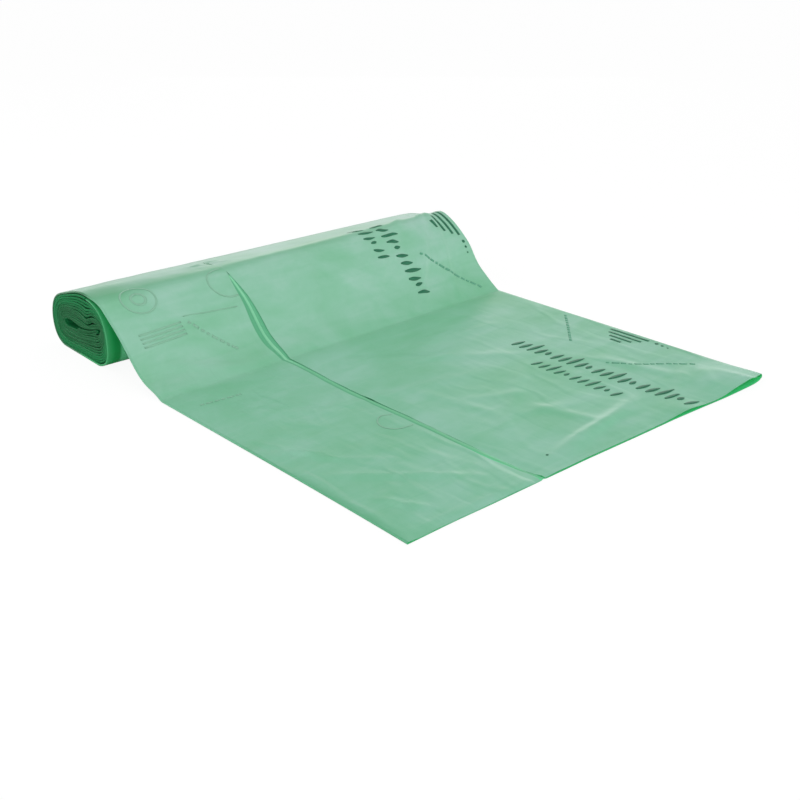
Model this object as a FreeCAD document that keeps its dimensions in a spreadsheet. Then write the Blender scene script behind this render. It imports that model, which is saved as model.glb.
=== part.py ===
"""Coreless roll of large bin bags with the first bag pulled out flat.

The bags are one continuous web of green film, perforated from bag to bag. The web is
a flat tube of film whose two sides are folded over onto its top, so that their folded
edges meet in a slit, a third of the way across. It is wound without a core into a soft
roll that has sagged flat underneath and crushed in the middle. From the top of the
roll the web drapes to the floor and lies flat up to its free edge, where its mouth
stands a little open at the far corner.

All lengths are in millimetres. +X runs from the roll to the free edge, +Y along the
roll from its near end to its far end, and +Z is up from the floor. The origin is on
the floor in the middle of the whole object.
"""

import os

import FreeCAD, Part

from FreeCAD import Vector

# Driving sizes, each with what it measures.
SIZES = (
    ("web_width", 575.0, "folded width of the web, which is the roll's length"),
    ("skin", 1.0, "one side of the folded web, two films lying together"),
    ("skin_gap", 0.4, "air between the lower side and the flaps folded over it"),
    ("roll_width", 148.0, "wound roll, back to front"),
    ("roll_height", 89.0, "wound roll at its near end, floor to crest"),
    ("turns", 8, "turns that are modelled, each a bundle of thinner real ones"),
    ("core_width", 102.0, "crushed hollow in the middle, back to front"),
    ("core_open", 11.0, "crushed hollow, from its floor to its roof"),
    ("core_height", 38.0, "middle of the hollow above the floor"),
    ("core_rise", 16.0, "how much higher the hollow's front lies than its back"),
    ("drape_near", 190.0, "middle of the roll to where the near edge lands"),
    ("drape_far", 172.0, "middle of the roll to where the far edge lands"),
    ("drape_runout", 24.0, "flat web that ends the drape"),
    ("far_lift", 4.0, "how much looser and higher the far end of the crest is"),
    ("lay_length", 390.0, "web that lies flat, end of the drape to the free edge"),
    ("slit_place", 179.0, "near edge to the slit between the two flaps"),
    ("slit_shut", 0.6, "slit over the crest, where the flaps meet"),
    ("slit_gap", 4.0, "slit where the web lies flat"),
    ("slit_bulge", 9.0, "slit where it gapes, over the foot of the drape"),
    ("mouth_lift", 7.5, "how far the upper flap stands open at the far corner"),
    ("mouth_width", 110.0, "stretch of the free edge that stands open"),
    ("mouth_depth", 90.0, "how far the opening reaches back from the free edge"),
    ("roll_shift", 9.0, "how far the roll is shifted towards the near side"),
    ("floor_bite", 0.3, "how much the flat foot takes off the last turn's outside"),
)

# The roll's outline, clockwise from the back of its flat foot, as shares of its width
# from the middle and of its height. The last four points are the flat foot.
ROLL_OUTLINE = (
    (-0.32, 0.000),
    (-0.45, 0.100),
    (-0.50, 0.360),
    (-0.40, 0.700),
    (-0.20, 0.870),
    (0.12, 1.000),
    (0.29, 0.955),
    (0.42, 0.825),
    (0.50, 0.460),
    (0.45, 0.130),
    (0.29, 0.000),
    (0.09, 0.000),
    (-0.12, 0.000),
)

# The crushed hollow at the same places, as shares of its own width from the middle and
# of its opening above and below it. The roof is dented in towards the front.
CORE_OUTLINE = (
    (-0.37, -0.42),
    (-0.47, -0.10),
    (-0.50, 0.35),
    (-0.42, 0.76),
    (-0.22, 0.55),
    (0.06, -0.12),
    (0.24, -0.06),
    (0.42, 0.32),
    (0.50, 0.36),
    (0.45, -0.16),
    (0.28, -0.42),
    (0.09, -0.60),
    (-0.14, -0.72),
)
FOOT_START = 10  # the outline's point at which the flat foot begins
OUTLET = 4.2  # the outline's place at which the web leaves the last turn

# The drape from the crest to the floor, as shares of the run and of the drop.
CREST_NEAR = 0.12  # crest in front of the roll's middle, as a share of its width
CREST_FAR = 0.25
DRAPE_NEAR = (
    (0.13, 0.970),
    (0.25, 0.880),
    (0.37, 0.715),
    (0.50, 0.495),
    (0.62, 0.295),
    (0.74, 0.140),
    (0.87, 0.040),
)
DRAPE_FAR = (
    (0.20, 0.955),
    (0.33, 0.850),
    (0.46, 0.675),
    (0.59, 0.460),
    (0.70, 0.270),
    (0.80, 0.130),
    (0.90, 0.035),
)

PACKED = 0.64  # share of each turn's room that is film, the rest is air
SAMPLES = 2  # points on the winding's curves between two points of the outline
STRAIGHT = 0.01  # bulge below which three points count as in line
NARROWS = 6  # samples over which the last turn narrows to the pulled-out web
DRAPE_STATIONS = 27  # sections along the drape
SLIT_OPENS = 0.30  # share of the drape at which the slit begins to gape
SLIT_CLOSES = 0.35  # share of the flat web over which the slit narrows again
# The open mouth's profile along the free edge, as shares of its width and its lift.
MOUTH_PROFILE = ((0.0, 0.0), (0.16, 0.12), (0.38, 0.55), (0.62, 1.0), (0.80, 0.72), (0.93, 0.18), (1.0, 0.0))


def make_sheet(doc):
    """The spreadsheet that holds the driving sizes."""
    sheet = doc.addObject("Spreadsheet::Sheet", "sizes")
    for row, (alias, value, meaning) in enumerate(SIZES, start=1):
        sheet.set(f"A{row}", alias)
        sheet.set(f"B{row}", str(value))
        sheet.set(f"C{row}", meaning)
        sheet.setAlias(f"B{row}", alias)
    doc.recompute()
    return sheet


class Sizes:
    """The sheet's values by name, with the few lengths that follow from them."""

    def __init__(self, sheet):
        for alias, _value, _meaning in SIZES:
            setattr(self, alias, float(sheet.get(alias)))
        self.turns = int(self.turns)
        self.web = 2 * self.skin + self.skin_gap
        self.floor_line = self.web / 2


def closed_curve(points):
    """A smooth closed curve with its points at the parameters 0, 1, 2 and so on."""
    curve = Part.BSplineCurve()
    curve.interpolate(
        Points=points, PeriodicFlag=True, Parameters=[float(i) for i in range(len(points) + 1)]
    )
    return curve


def roll_curve(s):
    """Middle of the web round the outside of the roll, in the XZ plane."""
    drop = s.roll_height - 2 * s.web
    return closed_curve(
        [
            Vector(x * (s.roll_width - s.web), 0, s.floor_line - s.floor_bite + z * (drop + s.floor_bite))
            for x, z in ROLL_OUTLINE
        ]
    )


def core_curve(s):
    """Middle of the web round the crushed hollow, in the XZ plane."""
    return closed_curve(
        [
            Vector(x * s.core_width, 0, s.core_height + x * s.core_rise + z * s.core_open)
            for x, z in CORE_OUTLINE
        ]
    )


def winding_line(s):
    """Points down the middle of the wound web, and the room that a turn has at each.

    The line runs from the hollow to where the web leaves the roll. Each turn moves out
    from the hollow to the outline by one share, and none of that happens along the foot,
    so that the turns lie flat there.
    """
    outline = roll_curve(s)
    hollow = core_curve(s)
    places = len(ROLL_OUTLINE)
    count = 2 * round((s.turns * places + OUTLET) * SAMPLES / 2)
    line, rooms = [], []
    for i in range(count + 1):
        turn, place = divmod(i / SAMPLES, places)
        out = (turn + min(place / FOOT_START, 1.0)) / s.turns
        inner = hollow.value(place)
        room = outline.value(place) - inner
        line.append(inner + room * out)
        rooms.append(room / s.turns)
    return line, rooms


def smooth(points):
    """A smooth open curve through the points."""
    curve = Part.BSplineCurve()
    curve.interpolate(points)
    return curve


def arcs_through(points):
    """A chain of arcs, each through three neighbouring points, or lines where they are in line."""
    edges = []
    for a, b, c in zip(points[::2], points[1::2], points[2::2]):
        bulge = b.distanceToLine(a, c - a)
        edges.append((Part.LineSegment(a, c) if bulge < STRAIGHT else Part.Arc(a, b, c)).toShape())
    return edges


def side_normal(tangent):
    """The direction that points out of the roll, square to a line that runs clockwise."""
    return Vector(-tangent.z, 0, tangent.x).normalize()


def ribbon_outline(s, line, rooms):
    """The wound web seen from the end, as a closed wire, and the place and run of its outer end."""
    middle = smooth(line)
    last = middle.LastParameter
    outside, inside = [], []
    for i, (point, room) in enumerate(zip(line, rooms)):
        normal = side_normal(middle.tangent(middle.parameter(point))[0])
        bundle = abs(room.dot(normal)) * PACKED
        narrowed = 1 - fade((len(line) - 1 - i) / NARROWS)
        half = (bundle + (s.web - bundle) * narrowed) / 2
        outside.append(point + normal * half)
        inside.append(point - normal * half)
    edges = arcs_through(outside) + [Part.LineSegment(outside[-1], inside[-1]).toShape()]
    edges += arcs_through(inside[::-1]) + [Part.LineSegment(inside[0], outside[0]).toShape()]
    return Part.Wire(edges), middle.value(last), middle.tangent(last)[0]


def make_winding(doc, s, section, near_y):
    """The wound turns: the end view pulled along the roll and flattened underneath."""
    ends = doc.addObject("Part::Feature", "winding_section")
    ends.Shape = Part.Face(section)
    ends.Placement = FreeCAD.Placement(Vector(0, near_y, 0), FreeCAD.Rotation())
    wound = doc.addObject("Part::Extrusion", "winding")
    wound.Base = ends
    wound.DirMode = "Custom"
    wound.Dir = Vector(0, 1, 0)
    wound.setExpression("LengthFwd", "sizes.web_width")
    wound.Solid = True
    floor = doc.addObject("Part::Box", "floor")
    floor.setExpression("Length", "sizes.roll_width * 2")
    floor.setExpression("Width", "sizes.web_width * 2")
    floor.setExpression("Height", "sizes.roll_height")
    floor.setExpression("Placement.Base.x", "-sizes.roll_width")
    floor.setExpression("Placement.Base.y", "-sizes.web_width")
    floor.setExpression("Placement.Base.z", "-sizes.roll_height")
    rested = doc.addObject("Part::Cut", "winding_at_rest")
    rested.Base = wound
    rested.Tool = floor
    return rested


def drape_line(s, start, direction, reach, crest, profile):
    """Middle of the draped web at one side, from the last turn over the crest to the floor."""
    run = reach - crest.x
    drop = crest.z - s.floor_line
    points = [start, crest]
    points += [Vector(crest.x + x * run, 0, s.floor_line + z * drop) for x, z in profile]
    points.append(Vector(reach, 0, s.floor_line))
    points.append(Vector(reach + s.drape_runout, 0, s.floor_line))
    curve = Part.BSplineCurve()
    curve.interpolate(Points=points, InitialTangent=direction, FinalTangent=Vector(1, 0, 0))
    return curve


def at_share(s, curve, share):
    """Point and outward normal of a curve at a share of its length, never under the floor."""
    place = curve.parameterAtDistance(share * curve.length(), curve.FirstParameter)
    point = curve.value(place)
    point.z = max(point.z, s.floor_line)
    return point, side_normal(curve.tangent(place)[0])


def fade(share):
    """Rises smoothly from 0 to 1."""
    share = min(max(share, 0.0), 1.0)
    return share * share * (3 - 2 * share)


class Section:
    """One cross-section of the folded web, between a near and a far point of its middle."""

    def __init__(self, s, near, far, near_y, slit, lift=0.0):
        self.s = s
        self.near, self.near_normal = near
        self.far, self.far_normal = far
        self.near_y = near_y
        self.slit = slit
        self.lift = lift

    def point(self, across, height, up=0.0):
        """The point that lies across from the near edge and that high above the middle."""
        share = across / self.s.web_width
        middle = self.near + (self.far - self.near) * share
        normal = self.near_normal + (self.far_normal - self.near_normal) * share
        return middle + normal.normalize() * height + Vector(0, self.near_y + across, up)

    def mouth_line(self, height, mouth):
        """The edge of the far flap along the mouth, raised where it stands open."""
        points = [
            self.point(mouth + x * self.s.mouth_width, height, z * self.lift)
            for x, z in MOUTH_PROFILE
        ]
        across = (points[-1] - points[0]).normalize()
        curve = Part.BSplineCurve()
        curve.interpolate(Points=points, InitialTangent=across, FinalTangent=across)
        return curve.toShape()

    def wire(self):
        """The closed outline of the folded web: lower side, two folds and two flaps."""
        s = self.s
        outer, inner = s.web / 2, s.skin_gap / 2
        fold_near, fold_far = outer, s.web_width - outer
        slit_near, slit_far = s.slit_place - self.slit / 2, s.slit_place + self.slit / 2
        mouth = fold_far - s.mouth_width

        def straight(a, b):
            return Part.LineSegment(self.point(*a), self.point(*b)).toShape()

        edges = [
            straight((fold_near, -outer), (fold_far, -outer)),
            straight((fold_far, -outer), (s.web_width, -inner)),
            straight((s.web_width, -inner), (s.web_width, inner)),
            straight((s.web_width, inner), (fold_far, outer)),
            self.mouth_line(outer, mouth),
            straight((mouth, outer), (slit_far, outer)),
            straight((slit_far, outer), (slit_far, inner)),
            straight((slit_far, inner), (mouth, inner)),
            self.mouth_line(inner, mouth),
            straight((fold_far, inner), (fold_far, -inner)),
            straight((fold_far, -inner), (fold_near, -inner)),
            straight((fold_near, -inner), (fold_near, inner)),
            straight((fold_near, inner), (slit_near, inner)),
            straight((slit_near, inner), (slit_near, outer)),
            straight((slit_near, outer), (fold_near, outer)),
            straight((fold_near, outer), (0, inner)),
            straight((0, inner), (0, -inner)),
            straight((0, -inner), (fold_near, -outer)),
        ]
        return Part.Wire(Part.__sortEdges__(edges))


def skewed(s, x):
    """The near edge's place along the roll: the pulled web strays a little from the roll's end."""
    length = s.drape_near + s.drape_runout + s.lay_length
    return -(s.web_width + s.roll_shift) / 2 + s.roll_shift * fade(x / length)


def drape_sections(s, end, direction):
    """Sections from the end of the last turn to where the web lands."""
    top = s.roll_height - s.web / 2
    crest_near = Vector(CREST_NEAR * s.roll_width, 0, top)
    crest_far = Vector(CREST_FAR * s.roll_width, 0, top + s.far_lift)
    near = drape_line(s, end, direction, s.drape_near, crest_near, DRAPE_NEAR)
    far = drape_line(s, end, direction, s.drape_far, crest_far, DRAPE_FAR)
    sections = []
    for i in range(DRAPE_STATIONS):
        share = i / (DRAPE_STATIONS - 1)
        slit = s.slit_shut + (s.slit_bulge - s.slit_shut) * fade((share - SLIT_OPENS) / (1 - SLIT_OPENS))
        edge = at_share(s, near, share)
        sections.append(Section(s, edge, at_share(s, far, share), skewed(s, edge[0].x), slit))
    return sections


def flat_sections(s, landing):
    """Sections from the landing to the free edge, which is square to the roll."""
    up = Vector(0, 0, 1)
    near_x, far_x = landing.near.x, landing.far.x
    free_x = near_x + s.lay_length
    mouth = 1 - s.mouth_depth / s.lay_length
    shares = (0.0, SLIT_CLOSES / 2, SLIT_CLOSES, mouth, (1 + mouth) / 2, 1.0)
    sections = []
    for share in shares:
        slit = s.slit_gap + (s.slit_bulge - s.slit_gap) * (1 - fade(share / SLIT_CLOSES))
        lift = s.mouth_lift * fade((share - mouth) / (1 - mouth))
        near = Vector(near_x + (free_x - near_x) * share, 0, s.floor_line)
        far = Vector(far_x + (free_x - far_x) * share, 0, s.floor_line)
        sections.append(Section(s, (near, up), (far, up), skewed(s, near.x), slit, lift))
    return sections


def make_pulled_web(doc, sections):
    """The pulled-out web: one solid through its sections."""
    features = []
    for i, section in enumerate(sections):
        feature = doc.addObject("Part::Feature", f"web_section_{i}")
        feature.Shape = section.wire()
        features.append(feature)
    web = doc.addObject("Part::Loft", "pulled_web")
    web.Sections = features
    web.Solid = True
    web.Ruled = True
    return web


def check(doc, part):
    """Stops with a message if an object failed or the part is not one sound solid."""
    for obj in doc.Objects:
        if "Invalid" in obj.State or "Error" in obj.State:
            raise RuntimeError(f"{obj.Name} failed: {obj.State}")
    shape = part.Shape
    if shape.isNull() or not shape.isValid():
        raise RuntimeError(f"{part.Label} is not a valid shape")
    if len(shape.Solids) != 1:
        raise RuntimeError(f"{part.Label} has {len(shape.Solids)} solids and should have one")


def main():
    doc = FreeCAD.newDocument("bag_roll")
    sheet = make_sheet(doc)
    s = Sizes(sheet)
    near_y = -(s.web_width + s.roll_shift) / 2
    section, end, direction = ribbon_outline(s, *winding_line(s))
    winding = make_winding(doc, s, section, near_y)
    draped = drape_sections(s, end, direction)
    laid = flat_sections(s, draped[-1])
    web = make_pulled_web(doc, draped + laid[1:])
    roll = doc.addObject("Part::MultiFuse", "bag_roll")
    roll.Shapes = [winding, web]
    roll.Label = "bag_roll"
    middle_x = (section.BoundBox.XMin + laid[-1].near.x) / 2
    roll.Placement = FreeCAD.Placement(Vector(-middle_x, 0, 0), FreeCAD.Rotation())
    doc.recompute()
    check(doc, roll)
    os.makedirs("parts", exist_ok=True)
    roll.Shape.exportStep(f"parts/{roll.Label}.step")
    print(roll.Shape.BoundBox, "volume", roll.Shape.Volume, "faces", len(roll.Shape.Faces))


main()
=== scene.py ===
"""Looks of a coreless roll of compostable bin bags with the first bag pulled out flat.

The web is a flat tube of thin film whose two sides are folded over onto its top. It is
made here as one folded sheet, mapped along the same lines as the solids: round the last
turn of the roll, over its crest, down the drape and along the floor. Lengths inside the
functions are in millimetres, and meshes are written in metres.
"""

import math

import bmesh
import bpy
import numpy as np
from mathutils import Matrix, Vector, noise


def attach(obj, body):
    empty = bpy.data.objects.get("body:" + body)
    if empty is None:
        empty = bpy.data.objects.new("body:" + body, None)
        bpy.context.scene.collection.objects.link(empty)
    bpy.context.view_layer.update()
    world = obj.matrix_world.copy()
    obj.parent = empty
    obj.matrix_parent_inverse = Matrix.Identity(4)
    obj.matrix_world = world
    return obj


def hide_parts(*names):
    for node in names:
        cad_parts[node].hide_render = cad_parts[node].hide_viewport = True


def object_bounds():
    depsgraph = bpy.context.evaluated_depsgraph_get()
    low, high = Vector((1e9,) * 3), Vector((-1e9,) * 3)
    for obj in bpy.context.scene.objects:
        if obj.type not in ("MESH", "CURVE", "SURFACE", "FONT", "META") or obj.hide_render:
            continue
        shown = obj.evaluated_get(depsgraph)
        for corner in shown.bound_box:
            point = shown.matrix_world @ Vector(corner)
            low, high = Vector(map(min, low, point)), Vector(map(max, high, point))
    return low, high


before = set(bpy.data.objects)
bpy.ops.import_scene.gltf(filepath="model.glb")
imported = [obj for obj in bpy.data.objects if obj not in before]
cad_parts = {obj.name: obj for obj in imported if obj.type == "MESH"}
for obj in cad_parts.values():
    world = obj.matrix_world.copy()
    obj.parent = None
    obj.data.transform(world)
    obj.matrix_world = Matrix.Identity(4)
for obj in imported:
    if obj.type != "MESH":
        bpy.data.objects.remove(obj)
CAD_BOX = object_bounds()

MM = 0.001

# Sizes of the roll and its web, as in the solids. The tables of the outline and the drape
# stand a little fuller than theirs, as the film does in the photograph.
WEB_WIDTH = 575.0
WEB_HALF = 1.2  # half the thickness of the folded web
ROLL_WIDTH = 148.0
ROLL_HEIGHT = 89.0
TURNS = 8
CORE_WIDTH = 102.0  # the crushed hollow, its height of opening,
CORE_OPEN = 11.0
CORE_HEIGHT = 38.0  # its middle above the floor and how much it rises to the front
CORE_RISE = 16.0
DRAPE_NEAR_END = 190.0  # where the drape lands, from the roll's middle
DRAPE_FAR_END = 172.0
DRAPE_RUNOUT = 24.0  # from there to where both sides lie flat
FAR_LIFT = 4.0  # how much higher the crest is at the far side
LAY_LENGTH = 390.0  # the flat web
ROLL_SHIFT = 9.0  # how much nearer the roll's end lies than the flat web's side
MOUTH_LIFT = 8.0
MOUTH_WIDTH = 110.0
MOUTH_DEPTH = 90.0
ROLL_MIDDLE = CAD_BOX[0].x / MM + 74.6
PRESSED = 0.3  # how far the roll's weight presses its foot flat

# The roll's end and the hollow in it, as shares of their width and height, from under the
# foot up the back and over the crest.
ROLL_OUTLINE = [
    (-0.32, 0.000),
    (-0.45, 0.100),
    (-0.50, 0.360),
    (-0.41, 0.715),
    (-0.20, 0.872),
    (0.12, 1.000),
    (0.29, 0.975),
    (0.42, 0.850),
    (0.50, 0.460),
    (0.45, 0.130),
    (0.29, 0.000),
    (0.09, 0.000),
    (-0.12, 0.000),
]
CORE_OUTLINE = [
    (-0.37, -0.42),
    (-0.47, -0.10),
    (-0.50, 0.35),
    (-0.42, 0.76),
    (-0.22, 0.55),
    (0.06, -0.12),
    (0.24, -0.06),
    (0.42, 0.32),
    (0.50, 0.36),
    (0.45, -0.16),
    (0.28, -0.42),
    (0.09, -0.60),
    (-0.14, -0.72),
]
FOOT_START = 10  # the outline's point where the foot begins
TURN_START = 5.5  # where the last turn begins, past the crest and under the drape
OUTLET = 4.2  # where the web leaves the roll, short of the crest
CREST_NEAR = 0.12
CREST_FAR = 0.25
# The drape, as shares of the way from the crest to where it lands and of the crest's height.
DRAPE_NEAR = [
    (0.13, 0.995),
    (0.24, 0.962),
    (0.37, 0.812),
    (0.50, 0.620),
    (0.60, 0.435),
    (0.69, 0.265),
    (0.76, 0.165),
    (0.86, 0.092),
    (0.94, 0.050),
]
DRAPE_FAR = [
    (0.06, 1.042),
    (0.20, 1.004),
    (0.33, 0.898),
    (0.46, 0.750),
    (0.55, 0.622),
    (0.61, 0.495),
    (0.70, 0.325),
    (0.80, 0.205),
    (0.88, 0.115),
    (0.95, 0.045),
]

# The film itself.
FILM = 0.5  # drawn thickness of one side of the web, two films together
TURN_THICKNESS = 2.6  # drawn thickness of a wound turn, all its films together
BASE_HEIGHT = -0.95  # lower side, below the web's middle
FLAP_HEIGHT = 0.95  # flaps, above it
FLOOR_GAP = 0.3  # the lowest film's middle, above the floor
# How far the free edge runs out, by the distance from the near edge.
RUN_OUT = np.array(
    [
        (0, 0),
        (250, 0),
        (330, 1.8),
        (400, 2.6),
        (440, 4.4),
        (487, 7.0),
        (548, 7.4),
        (564, 5.0),
        (575, 1.2),
    ]
)
RUN_OUT_DEPTH = 130.0  # from the free edge to where it lies straight again
UNDER_DRAPE = 820.0  # from there on the outer turn lies in the shade of the drape, painted into its colour
PLACES = len(ROLL_OUTLINE)

# The slit between the flaps: distance from the free edge, its middle's distance from the
# near edge, and its width. It is shut over the crest and gapes down the drape.
SLIT = np.array(
    [
        (0, 181.5, 6.0),
        (8, 182.0, 5.0),
        (17, 180.0, 1.6),
        (28, 178.5, 3.5),
        (60, 176.5, 5.5),
        (130, 176.5, 7.0),
        (200, 177.0, 7.5),
        (300, 176.0, 8.5),
        (360, 179.5, 8.5),
        (400, 181.5, 8.0),
        (414, 181.0, 9.5),
        (430, 180.0, 14.5),
        (455, 180.0, 18.5),
        (495, 180.5, 18.0),
        (530, 181.5, 12.0),
        (556, 181.0, 6.0),
        (573, 181.0, -0.4),
        (606, 181.0, -0.4),
        (611, 181.0, 3.0),
        (620, 181.0, 3.0),
        (626, 181.0, -0.4),
        (1100, 181.0, -0.4),
    ]
)
# Each wound turn's share of the way from the hollow to the outline. The outer turns are
# tight and the inner ones lie in loose pairs.
TURN_SHARES = [0.0, 0.075, 0.165, 0.235, 0.335, 0.405, 0.505, 0.59, 0.675, 0.75, 0.825, 0.905, 1.0]
# The web's inner end, doubled over in the hollow, from its tip to where it starts to wind.
INNER_END = [
    (-13, 31.6),
    (8, 35.0),
    (24, 38.9),
    (37, 43.4),
    (40.5, 44.0),
    (38.5, 41.2),
    (28, 38.4),
    (9, 33.2),
    (-14, 28.4),
]


def spline(points, closed=False, steps=40):
    """Points of a smooth curve through the given ones, as an array."""
    points = np.array(points, float)
    if closed:
        points = np.vstack([points, points[:1]])
    knots = np.concatenate([[0], np.cumsum(np.linalg.norm(np.diff(points, axis=0), axis=1))])
    count = len(points)
    gaps = np.diff(knots)
    system, right = np.zeros((count, count)), np.zeros((count, points.shape[1]))
    slopes = np.diff(points, axis=0) / gaps[:, None]
    for i in range(1, count - 1):
        system[i, i - 1 : i + 2] = gaps[i - 1], 2 * (gaps[i - 1] + gaps[i]), gaps[i]
        right[i] = 6 * (slopes[i] - slopes[i - 1])
    if closed:
        system[0, :2] = 2 * gaps[0], gaps[0]
        system[0, -2:] = gaps[-1], 2 * gaps[-1]
        right[0] = 6 * (slopes[0] - slopes[-1])
        system[-1, 0], system[-1, -1] = 1, -1
    else:
        system[0, 0] = system[-1, -1] = 1
    bends = np.linalg.solve(system, right)
    curve = []
    for i, gap in enumerate(gaps):
        for t in np.arange(steps) / steps * gap:
            left = gap - t
            curve.append(
                (bends[i] * left**3 + bends[i + 1] * t**3) / (6 * gap)
                + (points[i] / gap - bends[i] * gap / 6) * left
                + (points[i + 1] / gap - bends[i + 1] * gap / 6) * t
            )
    curve.append(points[-1])
    return np.array(curve)


def spaced(line, count):
    """The line again, as that many evenly spaced points."""
    along = np.concatenate([[0], np.cumsum(np.linalg.norm(np.diff(line, axis=0), axis=1))])
    wanted = np.linspace(0, along[-1], count)
    return np.column_stack([np.interp(wanted, along, line[:, k]) for k in range(line.shape[1])])


def length_of(line):
    """The length of a line through its points."""
    return float(np.linalg.norm(np.diff(line, axis=0), axis=1).sum())


def fade(share):
    """Rises smoothly from 0 to 1."""
    share = np.clip(share, 0.0, 1.0)
    return share * share * (3 - 2 * share)


STEPS = 24  # points of the outlines' curves from one place to the next
DRAPE_STEPS = 40
ROLL_LINE = spline(
    [
        (
            x * (ROLL_WIDTH - 2 * WEB_HALF),
            WEB_HALF - PRESSED + z * (ROLL_HEIGHT - 4 * WEB_HALF + PRESSED),
        )
        for x, z in ROLL_OUTLINE
    ],
    closed=True,
    steps=STEPS,
)
CORE_LINE = spline(
    [(x * CORE_WIDTH, CORE_HEIGHT + x * CORE_RISE + z * CORE_OPEN) for x, z in CORE_OUTLINE],
    closed=True,
    steps=STEPS,
)


def on_loop(line, place):
    """The point of a closed outline at one of its places."""
    index = (place % PLACES) * STEPS
    low = int(index)
    share = index - low
    return line[low] * (1 - share) + line[min(low + 1, len(line) - 1)] * share


def wound(turn_and_place, out=None):
    """A point of the spiral, as (x, z), at a count of places from its start in the hollow."""
    turn, place = divmod(turn_and_place, PLACES)
    if out is None:
        out = (turn + min(place / FOOT_START, 1.0)) / TURNS
    inner = on_loop(CORE_LINE, place)
    return inner + (on_loop(ROLL_LINE, place) - inner) * out


def last_turn():
    """The web's middle down the roll's front, under its foot and up its back to the outlet."""
    start, end = (TURNS - 1) * PLACES + TURN_START, TURNS * PLACES + OUTLET
    return np.array([wound(p) for p in np.linspace(start, end, 260)])


def drape(start, crest, reach, profile):
    """The web's middle at one side from the outlet over the crest to the floor."""
    run, drop = reach - crest[0], crest[1] - WEB_HALF
    points = [start, crest]
    points += [(crest[0] + x * run, WEB_HALF + z * drop) for x, z in profile]
    points += [(reach, WEB_HALF), (reach + DRAPE_RUNOUT, WEB_HALF)]
    # One more point back on the turn lets the line leave the outlet in the turn's direction.
    before = [wound(TURNS * PLACES + OUTLET - 0.8)]
    line = spline(before + points, steps=DRAPE_STEPS)[DRAPE_STEPS:]
    line[:, 1] = np.maximum(line[:, 1], WEB_HALF)
    return line


class Web:
    """The middle of the web: points and normals at its near and far side, row by row."""

    def __init__(self, row_space):
        turn = last_turn()
        turn[:, 1] = np.maximum(turn[:, 1], WEB_HALF)
        outlet = turn[-1]
        top = ROLL_HEIGHT - WEB_HALF
        near = drape(outlet, (CREST_NEAR * ROLL_WIDTH, top), DRAPE_NEAR_END, DRAPE_NEAR)
        far = drape(outlet, (CREST_FAR * ROLL_WIDTH, top + FAR_LIFT), DRAPE_FAR_END, DRAPE_FAR)
        free = DRAPE_NEAR_END + DRAPE_RUNOUT + LAY_LENGTH
        counts = [round(length_of(turn) / row_space), round(length_of(near) / row_space)]
        counts.append(round(LAY_LENGTH / row_space))
        parts = []
        for side in (near, far):
            flat = np.array([side[-1], (free, WEB_HALF)])
            pieces = [spaced(turn, counts[0] + 1)[:-1], spaced(side, counts[1] + 1)[:-1]]
            parts.append(np.vstack(pieces + [spaced(flat, counts[2] + 1)]))
        self.near, self.far = parts
        self.outlet_row = counts[0]
        self.rows = len(self.near)
        self.near_normal, self.far_normal = (self.normals(side) for side in parts)
        steps = np.linalg.norm(np.diff((self.near + self.far) / 2, axis=0), axis=1)
        self.from_free = np.concatenate([np.cumsum(steps[::-1])[::-1], [0]])
        self.shift = -(WEB_WIDTH + ROLL_SHIFT) / 2 + ROLL_SHIFT * fade(self.near[:, 0] / free)
        self.shift[: self.outlet_row] = -(WEB_WIDTH + ROLL_SHIFT) / 2

    @staticmethod
    def normals(line):
        """Unit vectors at right angles to a line, upwards where it runs to the free edge."""
        run = np.gradient(line, axis=0)
        across = np.column_stack([-run[:, 1], run[:, 0]])
        return across / np.linalg.norm(across, axis=1)[:, None]

    def row_at(self, from_free):
        """The row, with a fraction, at that distance from the free edge."""
        return float(np.interp(-from_free, -self.from_free, np.arange(self.rows)))

    def place(self, row, across, height):
        """The point (x, y, z) at a row, across from the near edge, at a height above the middle."""
        low = min(int(row), self.rows - 2)
        t, share = row - low, across / WEB_WIDTH

        def at(table):
            return table[low] * (1 - t) + table[low + 1] * t

        middle = at(self.near) * (1 - share) + at(self.far) * share
        normal = at(self.near_normal) * (1 - share) + at(self.far_normal) * share
        normal = normal / np.linalg.norm(normal)
        x, z = middle + normal * height
        out = float(np.interp(across, RUN_OUT[:, 0], RUN_OUT[:, 1]))
        out *= float(fade(1 - at(self.from_free) / RUN_OUT_DEPTH))
        place = x + out + ROLL_MIDDLE, at(self.shift) + across, max(z, FLOOR_GAP)
        return Vector([value * MM for value in place])


def ripple(across, from_free, size, seed, stretch=1.0):
    """Smooth noise from -1 to 1 on the flat web, its waves about that many millimetres long."""
    return noise.noise(Vector((across / size, from_free / size / stretch, seed)))


def crease(across, from_free, start, end, width):
    """A soft ridge from 0 to 1 along a line on the flat web that fades out at its ends."""
    ax, ay = start
    dx, dy = end[0] - ax, end[1] - ay
    t = ((from_free - ax) * dx + (across - ay) * dy) / (dx * dx + dy * dy)
    off = abs((from_free - ax) * dy - (across - ay) * dx) / math.hypot(dx, dy)
    if t < -0.1 or t > 1.1 or off > 4 * width:
        return 0.0
    ends = float(fade((t + 0.1) / 0.35) * fade((1.1 - t) / 0.35))
    return ends * math.exp(-((off / width) ** 2))


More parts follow.
